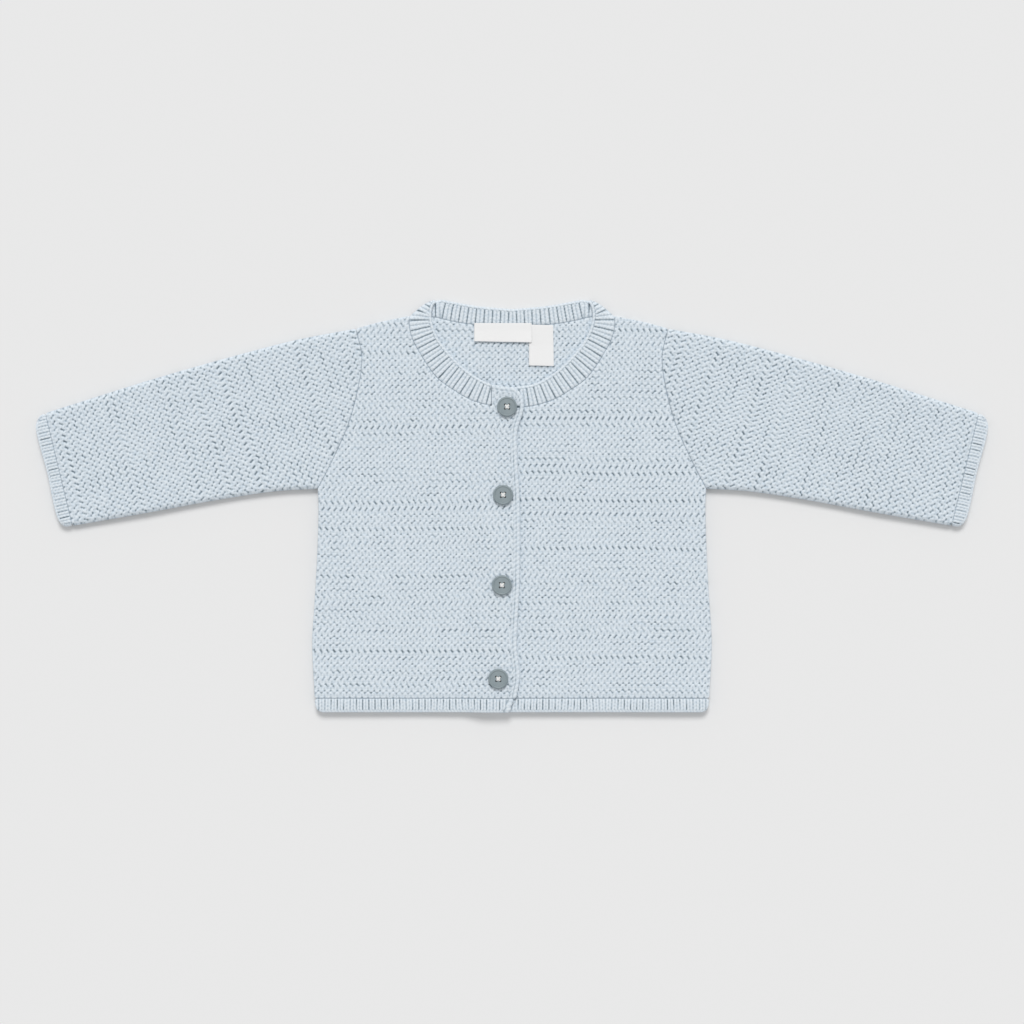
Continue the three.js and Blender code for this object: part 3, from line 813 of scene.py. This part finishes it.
def tube(outline, bottom, top, knit, fine, rough, swell):
    """A flattened tube: an upper layer, and a lower one turned over beneath it."""
    fold = fold_distance_run(bottom, top)
    a = (outline[:, 0].min(), outline[:, 0].max())
    b = (outline[:, 1].min(), outline[:, 1].max())
    upper = layer(
        outline, lines(*a, fine), lines(*b, fine), knit, MID_Z + 0.3, TUBE_HEIGHT,
        fold=fold, fold_z=MID_Z + 0.02, lift=swell,
    )
    lower_layer = layer(
        outline, lines(*a, rough), lines(*b, rough), knit, MID_Z + 0.3, TUBE_HEIGHT,
        fold=fold, fold_z=MID_Z + 0.02, proud=0,
    )
    v, h, quads, tris = lower_layer
    under = (v * (1, 1, -1) + (0, 0, TUBE_HEIGHT), h, quads[:, ::-1], tris[:, ::-1])
    return [moved(upper, from_sleeve), moved(under, from_sleeve)]


def cuff_knit(seed):
    def knit(at):
        height = rib(at[:, 1], at[:, 0], HEM_RIB, seed)
        to_edge, _, along = nearest(at, cuff_edge)
        edge_chain = chain(along, to_edge, 0.9, 2.1)
        return np.where(to_edge < 1.6, np.maximum(edge_chain, 0.3), height)

    return knit


cuff_outline = joined(cuff_edge[::-1], [sleeve_top[-1], sleeve_bottom[0]])
for name, sign, seed in (("left", 1, 51), ("right", -1, 57)):
    parts = tube(sleeve_outline, sleeve_bottom[::-1], sleeve_top[::-1], sleeve_knit(seed),
                 0.6, 1.5, sleeve_puff)
    cuff_parts = tube(cuff_outline, cuff_edge[-6:], cuff_edge[:6], cuff_knit(seed + 3), 0.5, 0.9, None)
    if sign < 0:
        parts = [turned_over(p, (-1, 1, 1)) for p in parts]
        cuff_parts = [turned_over(p, (-1, 1, 1)) for p in cuff_parts]
    sleeve = piece(f"knit_sleeve_{name}", YARN, "yarn", f"sleeve_{name}", *parts)
    cuff = piece(f"knit_cuff_{name}", RIB_YARN, "rib_yarn", f"cuff_{name}", *cuff_parts)

# ---- Labels ----


def tape_knit(at):
    return np.full(len(at), 1.0)


def label_bow(at):
    """The tape lies close along its upper edge and lifts a little towards its free lower one."""
    x, y = at.T
    return 0.7 * ease(118 - y, 2, 14) * (1 + 0.3 * np.sin(x / 6.0))


def label_layer(outline, base, bow):
    corners = np.array(outline, float)
    ring = np.vstack([corners, corners[:1]])
    fine_ring = np.vstack([evenly(ring[k : k + 2], 24)[:-1] for k in range(len(corners))])
    us = lines(corners[:, 0].min(), corners[:, 0].max(), 0.7)
    vs = lines(corners[:, 1].min(), corners[:, 1].max(), 0.7)
    made = layer(
        fine_ring, us, vs, tape_knit, base, base + 0.35, rim=0.15, lift=bow, proud=0,
        edge_drop=0.05, depth=0.1,
    )
    return made, fine_ring


size_part, size_ring = label_layer(SIZE_LABEL, 3.1, lambda at: 0.6 * ease(106 - at[:, 1], 0, 16))
neck_part, neck_ring = label_layer(NECK_LABEL, 3.6, label_bow)
size_tape = piece("tape_size_label", TAPE, "tape", "size_label", size_part)
neck_tape = piece("tape_neck_label", TAPE, "tape", "neck_label", neck_part)

# ---- Buttons and their thread ----


def strand(path, radius, sides=7):
    """A closed round strand along a path, in the form that layer() gives."""
    path = np.array(path, float)
    way = np.gradient(path, axis=0)
    way /= np.linalg.norm(way, axis=1)[:, None]
    across = np.cross(way, np.where(np.abs(way[:, 2:]) > 0.9, (1.0, 0, 0), (0, 0, 1.0)))
    across /= np.linalg.norm(across, axis=1)[:, None]
    third = np.cross(way, across)
    turn = np.linspace(0, 2 * np.pi, sides, endpoint=False)
    offsets = np.cos(turn)[None, :, None] * across[:, None] + np.sin(turn)[None, :, None] * third[:, None]
    body = (path[:, None] + radius * offsets).reshape(-1, 3)
    ends = path[[0, -1]]
    ids = np.arange(len(path) * sides).reshape(len(path), sides)
    around = np.roll(ids, -1, axis=1)
    quads = np.stack([ids[:-1], around[:-1], around[1:], ids[1:]], -1).reshape(-1, 4)
    count = len(body)
    start = np.stack([np.full(sides, count), around[0], ids[0]], 1)
    end = np.stack([np.full(sides, count + 1), ids[-1], around[-1]], 1)
    vertices = np.vstack([body, ends])
    return vertices, np.ones(len(vertices)), quads, np.vstack([start, end])


BUTTON_DISH = 0.4  # how far a button's face lies below its rim
THREAD_REACH = 1.85  # half the length of a stitch across the holes
THREAD_RADIUS = 0.24
THREAD_SPACING = 0.42
SHANK_RADIUS = 0.85

for k, (x, y) in enumerate(buttons, start=1):
    low, high = (np.array(corner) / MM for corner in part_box(f"button_{k}"))
    face = high[2] - BUTTON_DISH
    strands = []
    for turn in (math.pi / 4, -math.pi / 4):
        way = np.array([math.cos(turn), math.sin(turn), 0])
        beside = np.array([-way[1], way[0], 0])
        for shift in (-THREAD_SPACING, 0, THREAD_SPACING):
            share = np.linspace(-1, 1, 13)[:, None]
            rise = 0.42 * np.cos(share * math.pi / 2) ** 0.5 - 1.6 * np.abs(share) ** 9
            middle = np.array([x, y, face]) + beside * shift * (1 - 0.35 * share**2)
            path = middle + way * THREAD_REACH * share + np.array([0, 0, 1]) * (rise + 0.12 * (turn > 0))
            strands.append(strand(path, THREAD_RADIUS))
    shank = [(x, y, z) for z in np.linspace(LAYER + WALL + 0.3, low[2] + 0.5, 6)]
    strands.append(strand(shank, SHANK_RADIUS, 10))
    piece(f"thread_{k}", THREAD, "thread", f"button_thread_{k}", *strands)
    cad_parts[f"button_{k}"].data.materials.clear()
    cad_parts[f"button_{k}"].data.materials.append(RESIN)

# ---- Each sheet's size and area, worked out here but not kept ----


def declare(outline, hem=None, hem_outline=None):
    """The size and area of a flat sheet, with the hem that is knitted on to it; neither is returned or
    stored.
    """
    size = np.ptp(outline, axis=0) * MM
    area = enclosed_area(outline)
    if hem:
        size[1] += (HEM_TOP - HEM_BOTTOM) * MM
        area += enclosed_area(hem_outline)


declare(back_outline, hem_back, hem_outline)
declare(left_outline, hem_left, hem_left_outline)
declare(right_outline, hem_right, hem_right_outline)
declare(neck_ring)
declare(size_ring)

# ---- Studio ----

floor_mesh = bpy.data.meshes.new("floor")
FLOOR = 6.0
floor_mesh.from_pydata(
    [(-FLOOR, -FLOOR, 0), (FLOOR, -FLOOR, 0), (FLOOR, FLOOR, 0), (-FLOOR, FLOOR, 0)], [], [(0, 1, 2, 3)]
)
floor = bpy.data.objects.new("floor", floor_mesh)
floor.location.z = -0.0002
bpy.context.scene.collection.objects.link(floor)
floor_material, _, floor_shader = new_material("floor")
floor_shader.inputs["Base Color"].default_value = (0.812, 0.812, 0.812, 1)
floor_shader.inputs["Roughness"].default_value = 1.0
floor_shader.inputs["Specular IOR Level"].default_value = 0.0
floor_mesh.materials.append(floor_material)

SKY = 0.60  # the world's share of the light; the lamp gives the rest
LAMP_TILT = math.radians(38)

world = bpy.data.worlds.new("studio")
bpy.context.scene.world = world
world.use_nodes = True
sky_tree = world.node_tree
lit = sky_tree.nodes["Background"]
lit.inputs["Color"].default_value = (1, 1, 1, 1)
lit.inputs["Strength"].default_value = SKY
seen = node(sky_tree, "ShaderNodeBackground", Color=(0.812, 0.812, 0.812, 1), Strength=1.0)
choose = sky_tree.nodes.new("ShaderNodeMixShader")
rays = sky_tree.nodes.new("ShaderNodeLightPath")
sky_tree.links.new(rays.outputs["Is Camera Ray"], choose.inputs["Fac"])
sky_tree.links.new(lit.outputs[0], choose.inputs[1])
sky_tree.links.new(seen.outputs[0], choose.inputs[2])
sky_tree.links.new(choose.outputs[0], sky_tree.nodes["World Output"].inputs["Surface"])

lamp_data = bpy.data.lights.new("softbox", "SUN")
lamp_data.energy = (1 - SKY) * math.pi / math.cos(LAMP_TILT)
lamp_data.angle = math.radians(24)
lamp = bpy.data.objects.new("softbox", lamp_data)
lamp.rotation_euler = (-LAMP_TILT, 0, 0)
bpy.context.scene.collection.objects.link(lamp)

VIEW_WIDTH = 0.6656  # what the camera sees across the garment
camera_data = bpy.data.cameras.new("camera")
camera_data.lens = 100
camera_data.sensor_width = 36
distance = VIEW_WIDTH * camera_data.lens / camera_data.sensor_width
camera = bpy.data.objects.new("camera", camera_data)
camera.location = (0, -0.0041, distance + 0.005)
bpy.context.scene.collection.objects.link(camera)
bpy.context.scene.camera = camera
camera_data.clip_end = 20

bpy.context.scene.view_settings.view_transform = "Standard"
